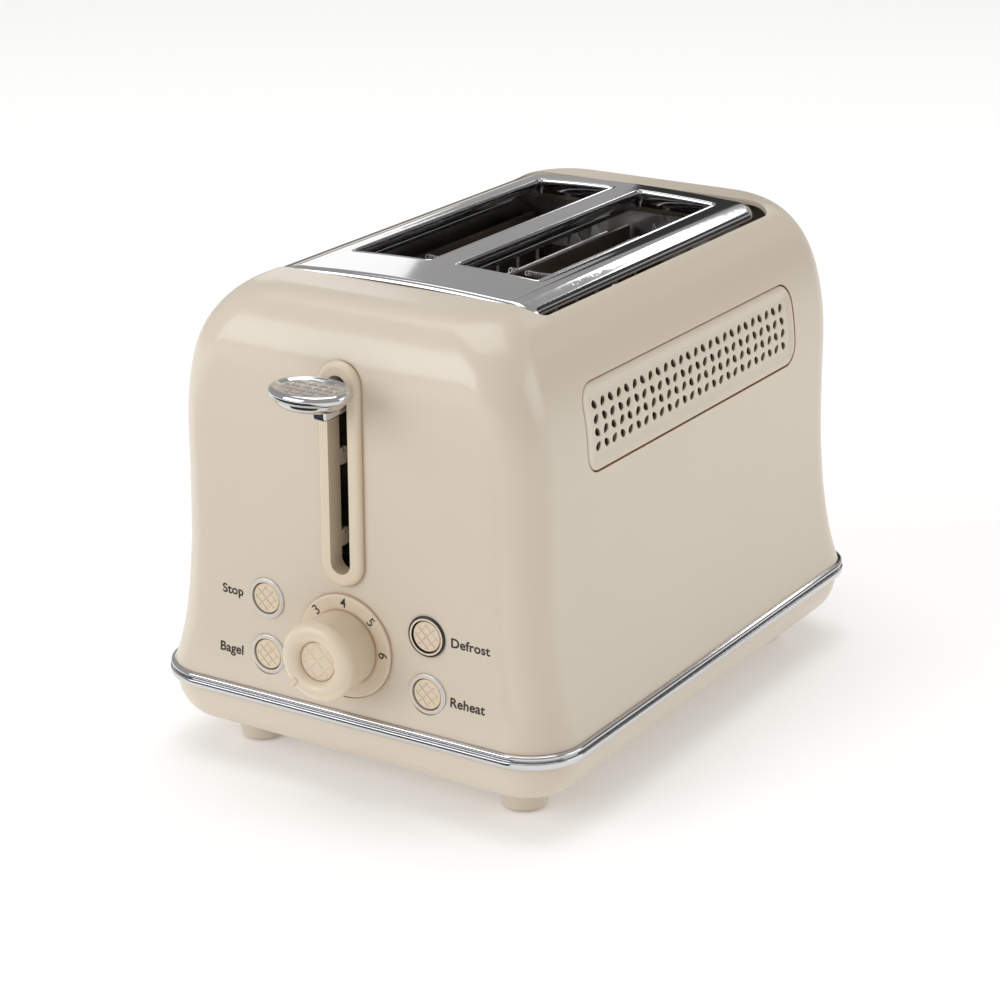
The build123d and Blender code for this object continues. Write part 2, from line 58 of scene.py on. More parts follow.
# ---- Materials -----------------------------------------------------------
# Painted shade: how far the occlusion mask reaches, and the warm brown painted into creases, recesses and
# gaps.
crease_shade_reach = 1.8 * MM
coat_roughness = 0.12
crease_shade_brown = (0.42, 0.23, 0.10)


def node_tree(name):
    """A new material, its node tree and its principled shader."""
    material = bpy.data.materials.new(name)
    material.use_nodes = True
    tree = material.node_tree
    shader = tree.nodes["Principled BSDF"]
    return material, tree, shader


def noise(tree, source, scale, detail=4.0, distortion=0.0, stretch=None):
    """A noise texture in the object's own metres; stretch scales its axes for brushed surfaces."""
    if stretch:
        mapping = tree.nodes.new("ShaderNodeMapping")
        mapping.inputs["Scale"].default_value = stretch
        tree.links.new(source, mapping.inputs["Vector"])
        source = mapping.outputs["Vector"]
    texture = tree.nodes.new("ShaderNodeTexNoise")
    texture.inputs["Scale"].default_value = scale
    texture.inputs["Detail"].default_value = detail
    texture.inputs["Distortion"].default_value = distortion
    tree.links.new(source, texture.inputs["Vector"])
    return texture.outputs["Fac"]


def remap(tree, value, low, high, to_low, to_high):
    """Stretch a texture value from one range to another."""
    node = tree.nodes.new("ShaderNodeMapRange")
    node.inputs["From Min"].default_value = low
    node.inputs["From Max"].default_value = high
    node.inputs["To Min"].default_value = to_low
    node.inputs["To Max"].default_value = to_high
    tree.links.new(value, node.inputs["Value"])
    return node.outputs["Result"]


def finish_of(name, colour, second, roughness, metal=0.0, scale=18.0, grain=700.0,
              bump=0.05, height=0.05, rough_spread=0.06, wear=0.0, wear_colour=None,
              coat=0.0, stretch=None, specular=0.5, crease_shade=None):
    """A procedural finish: two close tones mottled together, uneven roughness, fine grain and,
    where asked for, light scuffs and painted shade: a warm brown darkening deep in creases and gaps."""
    material, tree, shader = node_tree(name)
    coordinates = tree.nodes.new("ShaderNodeTexCoord").outputs["Object"]
    mottle = noise(tree, coordinates, scale, 5.0, 0.3, stretch)
    fine = noise(tree, coordinates, grain, 3.0, 0.0, stretch)
    blend = tree.nodes.new("ShaderNodeMix")
    blend.data_type = "RGBA"
    blend.inputs["A"].default_value = (*colour, 1)
    blend.inputs["B"].default_value = (*second, 1)
    tree.links.new(remap(tree, mottle, 0.35, 0.65, 0.0, 1.0), blend.inputs["Factor"])
    tone = blend.outputs["Result"]
    scuff = remap(tree, noise(tree, coordinates, scale * 4.3, 8.0, 1.2), 0.62, 0.72, 0.0, wear)
    if wear_colour:
        worn = tree.nodes.new("ShaderNodeMix")
        worn.data_type = "RGBA"
        worn.inputs["B"].default_value = (*wear_colour, 1)
        tree.links.new(tone, worn.inputs["A"])
        tree.links.new(scuff, worn.inputs["Factor"])
        tone = worn.outputs["Result"]
    # Painted shade: an ambient-occlusion mask mixes the warm brown into the base colour in creases,
    # recesses and gaps, where shade falls.
    if crease_shade:
        shade_occlusion = tree.nodes.new("ShaderNodeAmbientOcclusion")
        shade_occlusion.samples = 6
        shade_occlusion.inputs["Distance"].default_value = crease_shade_reach
        deep = tree.nodes.new("ShaderNodeMix")
        deep.data_type = "RGBA"
        deep.inputs["A"].default_value = (*crease_shade, 1)
        tree.links.new(tone, deep.inputs["B"])
        tree.links.new(remap(tree, shade_occlusion.outputs["AO"], 0.25, 0.88, 0.0, 1.0), deep.inputs["Factor"])
        tone = deep.outputs["Result"]
    tree.links.new(tone, shader.inputs["Base Color"])
    rough = remap(tree, mottle, 0.3, 0.7, roughness - rough_spread, roughness + rough_spread)
    total = tree.nodes.new("ShaderNodeMath")
    total.operation = "ADD"
    total.use_clamp = True
    tree.links.new(rough, total.inputs[0])
    tree.links.new(scuff, total.inputs[1])
    tree.links.new(total.outputs["Value"], shader.inputs["Roughness"])
    relief = tree.nodes.new("ShaderNodeBump")
    relief.inputs["Strength"].default_value = bump
    relief.inputs["Distance"].default_value = height * MM
    tree.links.new(fine, relief.inputs["Height"])
    tree.links.new(relief.outputs["Normal"], shader.inputs["Normal"])
    shader.inputs["Metallic"].default_value = metal
    shader.inputs["Specular IOR Level"].default_value = specular
    if coat:
        shader.inputs["Coat Weight"].default_value = coat
        shader.inputs["Coat Roughness"].default_value = coat_roughness
        tree.links.new(relief.outputs["Normal"], shader.inputs["Coat Normal"])
    return material


# The shell and control creams carry painted shade: a warm brown darkening in their creases and gaps.
finishes = {
    "shell_cream": finish_of("shell_cream", (0.655, 0.573, 0.462), (0.645, 0.563, 0.452), 0.33,
                             coat=0.35, rough_spread=0.02, crease_shade=crease_shade_brown),
    "control_cream": finish_of("control_cream", (0.71, 0.60, 0.455), (0.70, 0.59, 0.445), 0.34,
                               coat=0.2, rough_spread=0.02, crease_shade=crease_shade_brown),
    "chrome": finish_of("chrome", (0.64, 0.64, 0.65), (0.61, 0.61, 0.62), 0.07, metal=1.0,
                        rough_spread=0.015, grain=90, bump=0.02, height=0.02, wear=0.02),
    "bezel_silver": finish_of("bezel_silver", (0.80, 0.81, 0.84), (0.76, 0.77, 0.80), 0.22,
                              metal=0.35),
    "bezel_dark": finish_of("bezel_dark", (0.018, 0.022, 0.036), (0.013, 0.017, 0.028), 0.3),
    "rubber": finish_of("rubber", (0.05, 0.048, 0.045), (0.035, 0.033, 0.03), 0.7, bump=0.3,
                        height=0.1),
    "sheet_steel": finish_of("sheet_steel", (0.52, 0.51, 0.49), (0.44, 0.43, 0.41), 0.3, metal=1.0,
                             scale=30, stretch=(1, 0.1, 1), wear=0.15, wear_colour=(0.33, 0.3, 0.26)),
    "wire": finish_of("wire", (0.88, 0.88, 0.88), (0.78, 0.77, 0.76), 0.2, metal=0.55, scale=60,
                      wear=0.1),
    "rod_steel": finish_of("rod_steel", (0.6, 0.6, 0.61), (0.52, 0.52, 0.53), 0.16, metal=1.0,
                           scale=60),
    "mica": finish_of("mica", (0.075, 0.05, 0.035), (0.045, 0.032, 0.024), 0.35, scale=45,
                      bump=0.25, height=0.2),
    "ribbon": finish_of("ribbon", (0.34, 0.30, 0.26), (0.22, 0.19, 0.17), 0.38, metal=1.0,
                        scale=60, wear=0.2),
    "board": finish_of("board", (0.03, 0.10, 0.05), (0.022, 0.075, 0.04), 0.45),
    "black_plastic": finish_of("black_plastic", (0.022, 0.022, 0.022), (0.03, 0.03, 0.03), 0.5),
    "coil": finish_of("coil", (0.42, 0.17, 0.06), (0.30, 0.11, 0.04), 0.35, metal=0.8, scale=80),
}
for node in nodes.values():
    for place in node.material_slots:
        place.material = finishes[place.material.name.split(".")[0]]


# ---- Shape tools -----------------------------------------------------------
def rounded_distance(x, y, half_x, half_y, radius):
    """Signed distance from a rounded rectangle about the origin, negative inside."""
    out_x, out_y = np.abs(x) - half_x + radius, np.abs(y) - half_y + radius
    outside = np.hypot(np.maximum(out_x, 0), np.maximum(out_y, 0))
    return outside + np.minimum(np.maximum(out_x, out_y), 0) - radius


def rounded_loop(half_x, half_y, radius, step, arc_steps=8):
    """Points around a rounded rectangle about the origin, in order."""
    points = []
    corners = ((1, 1, 0), (-1, 1, 90), (-1, -1, 180), (1, -1, 270))
    for i, (sign_x, sign_y, start) in enumerate(corners):
        centre = np.array((sign_x * (half_x - radius), sign_y * (half_y - radius)))
        for k in range(arc_steps + 1):
            angle = math.radians(start + 90 * k / arc_steps)
            points.append(centre + radius * np.array((math.cos(angle), math.sin(angle))))
        next_x, next_y, next_start = corners[(i + 1) % 4]
        angle = math.radians(next_start)
        following = np.array((next_x * (half_x - radius), next_y * (half_y - radius)))
        following = following + radius * np.array((math.cos(angle), math.sin(angle)))
        length = np.linalg.norm(following - points[-1])
        count = max(1, int(round(length / step)))
        here = points[-1]
        points += [here + (following - here) * k / count for k in range(1, count)]
    return np.array(points)


def circle_loop(radius, count):
    """Points around a circle about the origin."""
    turns = np.linspace(0, 2 * np.pi, count, endpoint=False)
    return np.stack((radius * np.cos(turns), radius * np.sin(turns)), axis=1)


def inside(polygon, points):
    """Which points lie inside a closed polygon."""
    result = np.zeros(len(points), bool)
    x, y = points[:, 0], points[:, 1]
    for (x0, y0), (x1, y1) in zip(polygon, np.roll(polygon, -1, axis=0)):
        crosses = (y0 > y) != (y1 > y)
        if y1 != y0:
            result ^= crosses & (x < (x1 - x0) * (y - y0) / (y1 - y0) + x0)
    return result


def triangulated(loops, free):
    """Triangles over closed flat loops and free points, each with its own depth column.
    Returns the flat points with their depths, and the triangles."""
    points, edges = [], []
    for loop in loops:
        first = len(points)
        points += [tuple(p) for p in loop]
        last = len(points) - 1
        edges += [(i, i + 1) for i in range(first, last)]
        edges.append((last, first))
    points += [tuple(p) for p in free]
    flat = [Vector(p[:2]) for p in points]
    verts, _, faces, origins, _, _ = delaunay_2d_cdt(flat, edges, [], 0, 1e-7)
    depth = np.array([points[origin[0]][2] if origin else 0.0 for origin in origins])
    flat = np.array([tuple(v) for v in verts])
    return np.column_stack((flat, depth)), np.array([f for f in faces if len(f) == 3])


def with_depth(loop, depth):
    """A flat loop with one depth for all its points."""
    return np.column_stack((loop, np.full(len(loop), depth)))


def shown(name, mesh, material, body, replaces=()):
    """Link a mesh as a piece with its finish, riding on a body and standing for CAD nodes."""
    mesh.materials.clear()
    mesh.materials.append(finishes[material])
    piece = bpy.data.objects.new(name, mesh)
    bpy.context.collection.objects.link(piece)
    if body:
        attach(piece, body)
    if replaces:
        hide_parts(*replaces)
    return piece


def mesh_of(name, points, faces, weld=1e-6):
    """A smooth-shaded mesh from points and faces, with coincident points joined."""
    mesh = bpy.data.meshes.new(name)
    mesh.from_pydata([tuple(p) for p in points], [], [tuple(int(i) for i in f) for f in faces])
    form = bmesh.new()
    form.from_mesh(mesh)
    bmesh.ops.remove_doubles(form, verts=form.verts, dist=weld)
    loose = [v for v in form.verts if not v.link_faces]
    bmesh.ops.delete(form, geom=loose, context="VERTS")
    for face in form.faces:
        face.smooth = True
    form.to_mesh(mesh)
    form.free()
    return mesh


def thicken(piece, thickness):
    """Give an open skin its sheet thickness, inwards from its normals."""
    solid = piece.modifiers.new("sheet", "SOLIDIFY")
    solid.thickness = thickness
    solid.offset = -1
    solid.use_quality_normals = True


# ---- Body measures: the shell's own box, and the driving sizes of its section ------------
shell_low, shell_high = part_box("outer_shell")
mid_y = (shell_low.y + shell_high.y) / 2
shell_top = shell_high.z
half_w = 86 * MM
side_round_w = 32.8 * MM
side_round_h = 62.5 * MM
flare_side = 11.2 * MM
flare_top = 146 * MM
flare_power = 3.5
band_top = shell_low.z


def side_x(z):
    """How far out the body's side stands at height z."""
    share = np.clip((z - shell_top + side_round_h) / side_round_h, 0, 1)
    rounded = side_round_w * (1 - np.sqrt(1 - share**2))
    spread = flare_side * (np.maximum(0, flare_top - z) / (flare_top - band_top)) ** flare_power
    return half_w + spread - rounded


def soft_step(value):
    """A smooth rise from 0 to 1."""
    value = np.clip(value, 0, 1)
    return value * value * (3 - 2 * value)


# ---- Vent panels: rounded rim, sunk field with a soft lower slope, and petal holes in fours -------
panel_low, panel_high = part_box("vent_panel_right")
panel_mid_y, panel_mid_z = (panel_low.y + panel_high.y) / 2, (panel_low.z + panel_high.z) / 2
panel_half_l, panel_half_h = (panel_high.y - panel_low.y) / 2, (panel_high.z - panel_low.z) / 2
panel_corner = 8.6 * MM
field_depth = 0.9 * MM
panel_sheet = 1.5 * MM
panel_roll, panel_roll_width = 0.8 * MM, 0.9 * MM
upper_rim, upper_slope = 3.4 * MM, 0.9 * MM
lower_rim, lower_slope = 1.6 * MM, 5.0 * MM
end_rim, end_slope = 2.2 * MM, 2.6 * MM
vent_columns, vent_rows = 26, 4
vent_pitch_y, vent_pitch_z = 6.42 * MM, 5.5 * MM
petal_half_l, petal_half_w, petal_taper = 2.05 * MM, 1.4 * MM, 0.25


def panel_depth(y, z):
    """Depth of the panel's face below the body's surface, rim rounding included."""
    edge = -rounded_distance(y, z, panel_half_l, panel_half_h, panel_corner)
    roll = panel_roll * (1 - soft_step(edge / panel_roll_width)) ** 2
    upper = soft_step((panel_half_h - upper_rim - z) / upper_slope)
    lower = soft_step((z + panel_half_h - lower_rim) / lower_slope)
    ends = soft_step((panel_half_l - end_rim - np.abs(y)) / end_slope)
    return roll + field_depth * upper * lower * ends


def petal(lean, bigger):
    """A drop-shaped hole's outline: round outside, narrower towards the middle of its group of four."""
    turns = np.linspace(0, 2 * np.pi, 16, endpoint=False)
    along = (petal_half_l + bigger) * np.cos(turns)
    across = (petal_half_w + bigger) * np.sin(turns) * (1 + petal_taper * np.cos(turns))
    return np.stack((along * math.cos(lean) - across * math.sin(lean),
                     along * math.sin(lean) + across * math.cos(lean)), axis=1)


def vent_skin(side):
    """The points and faces of one vent panel's skin."""
    loops, holes, hole_middles = [], [], []
    rim_steps = ((-1.2, 0.5), (-0.1, 0.5), (0.0, 0.0), (0.2, 0.0), (0.45, 0.0), (0.8, 0.0), (1.3, 0.0))
    for inset, depth in rim_steps:
        edge = rounded_loop(panel_half_l - inset * MM, panel_half_h - inset * MM,
                            panel_corner - inset * MM, 3.0 * MM)
        loops.append(with_depth(edge, depth * MM))
    for column in range(vent_columns):
        for row in range(vent_rows):
            middle = np.array(((column - (vent_columns - 1) / 2) * vent_pitch_y,
                               (row - (vent_rows - 1) / 2) * vent_pitch_z))
            lean = math.atan2(1 if row % 2 else -1, 1 if column % 2 else -1)
            for bigger, depth in ((0.45, 0.0), (0.2, 0.06), (0.0, 0.3)):
                outline = middle + petal(lean, bigger * MM)
                loops.append(with_depth(outline, depth * MM))
            holes.append(outline)
            hole_middles.append(middle)
    step = 1.6 * MM
    across, up = np.meshgrid(np.arange(-panel_half_l, panel_half_l, step),
                             np.arange(-panel_half_h, panel_half_h, step))
    free = np.stack((across.ravel(), up.ravel()), axis=1)
    edge = rounded_distance(free[:, 0], free[:, 1], panel_half_l, panel_half_h, panel_corner)
    free = free[edge < -1.9 * MM]
    apart = np.linalg.norm(free[:, None, :] - np.array(hole_middles)[None, :, :], axis=2)
    nearest = np.min(apart, axis=1)
    free = free[nearest > petal_half_l + 0.8 * MM]
    flat, faces = triangulated(loops, with_depth(free, 0.0))
    middles = flat[faces][:, :, :2].mean(axis=1)
    edge = rounded_distance(middles[:, 0], middles[:, 1], panel_half_l, panel_half_h, panel_corner)
    keep = edge < 1.3 * MM
    for outline in holes:
        near = np.abs(middles - outline.mean(axis=0)).max(axis=1) < petal_half_l
        keep[near] &= ~inside(outline, middles[near])
    y, z = flat[:, 0], flat[:, 1] + panel_mid_z
    x = side_x(z) - panel_depth(flat[:, 0], flat[:, 1]) - flat[:, 2]
    points = np.stack((side * x, y + panel_mid_y, z), axis=1)
    faces = faces[keep]
    return points, faces if side > 0 else faces[:, ::-1]


for side, side_name in ((-1, "left"), (1, "right")):
    vent_mesh = mesh_of(f"vent_{side_name}", *vent_skin(side))
    vent = shown(f"vent_{side_name}", vent_mesh, "shell_cream", "housing",
                 replaces=(f"vent_panel_{side_name}",))
    thicken(vent, panel_sheet)

# ---- Top plate: pressed sheet with rolled edges, creases and beaded slot rims ---------------------
plate_low, plate_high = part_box("top_plate")
plate_mid_y = (plate_low.y + plate_high.y) / 2
plate_half_w, plate_half_l = plate_high.x, (plate_high.y - plate_low.y) / 2
plate_top, plate_arch, plate_flat_w = 207.2 * MM, 1.6 * MM, 48 * MM
strip_rise, strip_curve = 0.0606, 0.0293  # the side strip's slope at its crease, and its curve per mm
plate_corner = 7 * MM
plate_sheet, skirt_lift = 0.6 * MM, 0.1 * MM
side_roll_reach, side_roll_drop = 3.0, 2.1  # the rolled edges along the sides, in mm
end_roll_reach, end_roll_drop = 2.4, 2.4  # and across the ends
bead_rise, bead_out, bead_width = 0.32 * MM, 0.7 * MM, 0.4 * MM
fold_drop, fold_width = 0.5 * MM, 0.45 * MM
slot_mid_x, slot_half_w = 25.7 * MM, 19 * MM
slot_half_l, slot_mid_y = 74.75 * MM, mid_y + 14.75 * MM
slot_corner = 1.8 * MM


def plate_crown(x):
    """Height of the plate's face before its edges roll down."""
    out = np.maximum(np.abs(x) - plate_flat_w, 0) / MM
    flat_part = plate_top - plate_arch * np.minimum(np.abs(x) / plate_flat_w, 1) ** 2
    return flat_part + (strip_rise * out - strip_curve * out**2) * MM


def plate_height(x, y):
    """Height of the plate at a point, with the rolled edge and the beads round the slots."""
    edge = np.maximum(-rounded_distance(x, y, plate_half_w, plate_half_l, plate_corner), 0)
    sideways = np.abs(x) - plate_half_w > np.abs(y) - plate_half_l
    reach = np.where(sideways, side_roll_reach, end_roll_reach) * MM
    drop = np.where(sideways, side_roll_drop, end_roll_drop) * MM
    share = np.clip(1 - edge / reach, 0, 1)
    roll = drop * (1 - np.sqrt(1 - share**2))
    slot_edge = rounded_distance(np.abs(x) - slot_mid_x, y - slot_mid_y + plate_mid_y,
                                 slot_half_w, slot_half_l, slot_corner)
    bead = bead_rise * np.exp(-((slot_edge - bead_out) / bead_width) ** 2)
    fold = fold_drop * np.clip(1 - slot_edge / fold_width, 0, 1) ** 2
    return plate_crown(x) - roll + bead - fold


def plate_skin():
    """The plate's skin, open at its outer edge and round the slots."""
    loops = []
    for inset in (0.0, 0.05, 0.2, 0.45, 0.8, 1.2, 1.7, 2.4, 3.2):
        loops.append(rounded_loop(plate_half_w - inset * MM, plate_half_l - inset * MM,
                                  plate_corner - inset * MM, 2.5 * MM, 10))
    for sign in (-1, 1):
        middle = np.array((sign * slot_mid_x, slot_mid_y - plate_mid_y))
        for out in (0.0, 0.15, 0.3, 0.5, 0.7, 0.9, 1.1, 1.35, 1.7, 2.3):
            loops.append(middle + rounded_loop(slot_half_w + out * MM, slot_half_l + out * MM,
                                               slot_corner + out * MM, 2.5 * MM, 4))
    # Rows of points along the plate, in metres from its middle: close together at the arch's top
    # and across each crease, and one pair along each slot's outer side.
    crease_lines = [0.0465, 0.048, 0.0494, 0.0508, 0.0522, 0.0537, 0.0551, 0.0565]
    lines = sorted({round(sign * v, 4) for sign in (-1, 1)
                    for v in [0.0015 * k for k in range(4)] + crease_lines})
    slot_side_lines = [-0.0455, -0.0425, 0.0425, 0.0455]
    across, up = np.meshgrid(lines + slot_side_lines,
                             np.arange(-plate_half_l, plate_half_l, 3 * MM))
    bars = np.stack((across.ravel(), up.ravel()), axis=1)
    across, up = np.meshgrid(np.arange(-plate_half_w, plate_half_w, 3 * MM),
                             np.arange(-plate_half_l, plate_half_l, 3 * MM))
    free = np.concatenate((bars, np.stack((across.ravel(), up.ravel()), axis=1)))
    edge = rounded_distance(free[:, 0], free[:, 1], plate_half_w, plate_half_l, plate_corner)
    slot_edge = rounded_distance(np.abs(free[:, 0]) - slot_mid_x, free[:, 1] - slot_mid_y + plate_mid_y,
                                 slot_half_w, slot_half_l, slot_corner)
    free = np.unique(np.round(free[(edge < -3.6 * MM) & (slot_edge > 2.8 * MM)], 6), axis=0)
    flat, faces = triangulated([with_depth(loop, 0.0) for loop in loops], with_depth(free, 0.0))
    middles = flat[faces][:, :, :2].mean(axis=1)
    edge = rounded_distance(middles[:, 0], middles[:, 1], plate_half_w, plate_half_l, plate_corner)
    slot_edge = rounded_distance(np.abs(middles[:, 0]) - slot_mid_x,
                                 middles[:, 1] - slot_mid_y + plate_mid_y,
                                 slot_half_w, slot_half_l, slot_corner)
    height = plate_height(flat[:, 0], flat[:, 1])
    points = np.stack((flat[:, 0], flat[:, 1] + plate_mid_y, height), axis=1)
    return points, faces[(edge < 0) & (slot_edge > 0)]


plate_mesh = mesh_of("plate", *plate_skin())
plate_form = bmesh.new()
plate_form.from_mesh(plate_mesh)
rim = [e for e in plate_form.edges if e.is_boundary]
lowered = bmesh.ops.extrude_edge_only(plate_form, edges=rim)["geom"]
for vertex in [g for g in lowered if isinstance(g, bmesh.types.BMVert)]:
    vertex.co.z = plate_low.z + skirt_lift
bmesh.ops.recalc_face_normals(plate_form, faces=plate_form.faces)
if max(plate_form.faces, key=lambda f: f.calc_center_median().z).normal.z < 0:
    bmesh.ops.reverse_faces(plate_form, faces=plate_form.faces)
for face in plate_form.faces:
    face.smooth = True
plate_form.to_mesh(plate_mesh)
plate_form.free()
plate = shown("plate", plate_mesh, "chrome", "housing", replaces=("top_plate",))
thicken(plate, plate_sheet)

# ---- Lever knob: rolled lip over a bowl, with a waffled dish and a neck into the slot --------------
knob_low, knob_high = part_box("lever_knob")
knob_half_depth = 13.5 * MM
knob_mid = Vector(((knob_low.x + knob_high.x) / 2, knob_low.y + knob_half_depth, knob_high.z))
dish_r, dish_widen, dish_drop, dish_back = 10.4, 1.25, 1.0, 1.0
knob_rings = (  # half width, half depth, shift backwards and drop below the top, in mm
    (6.0, 5.0, 0, 8.6), (9.2, 7.4, 0, 8.45), (11.8, 9.2, 0, 7.9), (13.8, 10.7, 0, 6.8),
    (15.1, 11.6, 0, 5.5), (15.7, 12.05, 0, 4.5), (16.0, 12.3, 0, 4.1), (16.4, 12.6, 0, 3.95),
    (17.0, 13.0, 0, 3.6),
    (17.5, 13.4, 0, 2.9), (17.6, 13.5, 0, 2.1), (17.4, 13.3, 0, 1.3), (17.0, 12.9, 0.1, 0.6),
    (16.5, 12.5, 0.3, 0.15), (15.9, 12.0, 0.5, 0.0), (15.2, 11.6, 0.7, 0.1), (14.4, 11.2, 0.9, 0.45),
    (13.7, 10.8, 1.0, 0.85), (13.0, 10.4, 1.0, 1.0),
)


def waffle_depth(x, y, spacing, half_width, depth):
    """Depth of evenly spaced grooves each way, with soft sides."""
    depths = 0
    for across in (x, y):
        off = np.min([np.abs(across - k * spacing) for k in range(-2, 3)], axis=0)
        depths = np.maximum(depths, depth * soft_step(1.6 - off / half_width))
    return depths


def dish_points(radius, spacing, half_width, depth, step, turn, rim_count):
    """A waffled disc in mm: flat places with groove depths, and its triangles."""
    ticks = np.arange(-radius, radius + step, step)
    across, up = np.meshgrid(ticks, ticks)
    free = np.stack((across.ravel(), up.ravel()), axis=1)
    free = free[np.hypot(free[:, 0], free[:, 1]) < radius - 0.7 * step]
    rim = circle_loop(radius, rim_count)
    flat, faces = triangulated([with_depth(rim, 0.0)], with_depth(free, 0.0))
    turned_x = flat[:, 0] * math.cos(turn) + flat[:, 1] * math.sin(turn)
    turned_y = -flat[:, 0] * math.sin(turn) + flat[:, 1] * math.cos(turn)
    cut = waffle_depth(turned_x, turned_y, spacing, half_width, depth)
    cut = cut * soft_step((radius - np.hypot(flat[:, 0], flat[:, 1])) / (0.12 * radius))
    return flat[:, :2], cut, faces


def ring_stack(rings, count):
    """Points and faces of a tube through closed rings of points, stacked in order."""
    points = np.concatenate(rings)
    faces = []
    for level in range(len(rings) - 1):
        for k in range(count):
            a, b = level * count + k, level * count + (k + 1) % count
            faces.append((a, b, b + count, a + count))
    return points, faces


ring_count = 96
turns = np.linspace(0, 2 * np.pi, ring_count, endpoint=False)
knob_stack = [np.stack((wide * np.cos(turns), deep * np.sin(turns) + shift,
                        np.full(ring_count, -drop)), axis=1)
              for wide, deep, shift, drop in knob_rings]
knob_points, knob_faces = ring_stack(knob_stack, ring_count)
knob_faces.append(tuple(reversed(range(ring_count))))
groove_spacing, groove_half_w, groove_depth, dish_step = 4.1, 0.4, 0.25, 0.25
disc, cuts, disc_faces = dish_points(dish_r, groove_spacing, groove_half_w, groove_depth,
                                     dish_step, 0.0, ring_count)
disc_3d = np.column_stack((disc[:, 0] * dish_widen, disc[:, 1] + dish_back, -dish_drop - cuts))
knob_faces += [tuple(int(i) + len(knob_points) for i in f) for f in disc_faces]
knob_points = np.concatenate((knob_points, disc_3d)) * MM + np.array(knob_mid)
knob_mesh = mesh_of("lever_knob_chrome", knob_points, knob_faces, weld=2e-6)
shown("lever_knob_chrome", knob_mesh, "chrome", "carriage", replaces=("lever_knob",))


def bevelled_block(name, low, high, bevel, material, body, segments=3):
    """A block between two corners with rounded edges."""
    form = bmesh.new()
    bmesh.ops.create_cube(form, size=1.0)
    for vertex in form.verts:
        vertex.co = Vector([(lo + hi) / 2 + c * (hi - lo) for lo, hi, c in zip(low, high, vertex.co)])
    bmesh.ops.bevel(form, geom=form.edges[:], offset=bevel, segments=segments, affect="EDGES",
                    profile=0.5)
    for face in form.faces:
        face.smooth = True
    mesh = bpy.data.meshes.new(name)
    form.to_mesh(mesh)
    form.free()
    shown(name, mesh, material, body)


neck_half_w, neck_start, neck_drop, neck_bevel = 3.2 * MM, 5 * MM, 7.4 * MM, 1.4 * MM
bevelled_block("lever_neck", (-neck_half_w, knob_mid.y + neck_start, knob_low.z),
               (neck_half_w, knob_high.y, knob_high.z - neck_drop), neck_bevel,
               "chrome", "carriage")

# ---- Lettering: dial numbers and generic function words, as thin raised ink -------------------------
finishes["ink"] = finish_of("ink", (0.03, 0.025, 0.022), (0.042, 0.036, 0.032), 0.5, scale=400,
                            bump=0.1)
ink_rise = 0.05 * MM
capital_share = 0.72  # a capital's height as a share of the font's size
letter_spacing = 1.04
in_front_y = -0.3  # nearer the viewer than any part of the toaster


def on_face(node, x, z):
    """The point of a node's front face at x and z, where lettering is laid."""
    found, place, _, _ = nodes[node].ray_cast(Vector((x, in_front_y, z)), Vector((0, 1, 0)))
    return place if found else Vector((x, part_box(node)[0].y, z))


def lettering(name, text, height, face_node, place, turn, weight):
    """Raised lettering on an upright face, centred at place; turn is clockwise seen from the front."""
    curve = bpy.data.curves.new(name, "FONT")
    curve.body = text
    curve.align_x = "CENTER"
    curve.align_y = "CENTER"
    curve.size = height / capital_share
    curve.extrude = ink_rise
    curve.offset = weight
    curve.space_character = letter_spacing
    source = bpy.data.objects.new(name, curve)
    bpy.context.collection.objects.link(source)
    bpy.context.view_layer.update()
    mesh = bpy.data.meshes.new_from_object(source.evaluated_get(bpy.context.evaluated_depsgraph_get()))
    mesh.name = name
    bpy.data.objects.remove(source)
    upright = Matrix.Rotation(turn, 4, "Y") @ Matrix.Rotation(math.pi / 2, 4, "X")
    mesh.transform(Matrix.Translation(place) @ upright)
    for vertex in mesh.vertices:
        proud = -ink_rise if vertex.co.y < place.y else ink_rise
        vertex.co.y = on_face(face_node, vertex.co.x, vertex.co.z).y + proud
    shown(name, mesh, "ink", "housing")


ring_low, ring_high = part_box("dial_ring")
dial_z = (ring_low.z + ring_high.z) / 2
number_r, number_height, number_weight = 18.6 * MM, 4.3 * MM, 0.03 * MM
for index in range(6):
    angle = math.radians(-135 + 45 * index)
    place = on_face("dial_ring", number_r * math.sin(angle), dial_z + number_r * math.cos(angle))
    lettering(f"dial_number_{index + 1}", str(index + 1), number_height, "dial_ring", place, angle,
              number_weight)
words = {  # each word's middle, across and up, in mm
    "Stop": (-56.1, 77.9), "Bagel": (-57.7, 51.8), "Defrost": (58.9, 77.6), "Reheat": (57.4, 52.2),
}
word_height, word_weight = 4.0 * MM, 0.13 * MM
for word, (x, z) in words.items():
    place = on_face("outer_shell", x * MM, z * MM)
    lettering(f"word_{word}", word, word_height, "outer_shell", place, 0.0, word_weight)

# ---- Waffled faces of the dial and the buttons ------------------------------------------------------
# Painted shade: a paler warm brown darkens the waffle grooves, where shade falls.
finishes["waffle_cream"] = finish_of("waffle_cream", (0.71, 0.60, 0.455), (0.70, 0.59, 0.445), 0.34,
                                     coat=0.2, rough_spread=0.02, crease_shade=(0.56, 0.42, 0.28))
button_names = ("stop", "bagel", "defrost", "reheat")
cap_groove_half_w, cap_groove_depth, cap_step, cap_sides = 0.3, 0.26, 0.17, 64


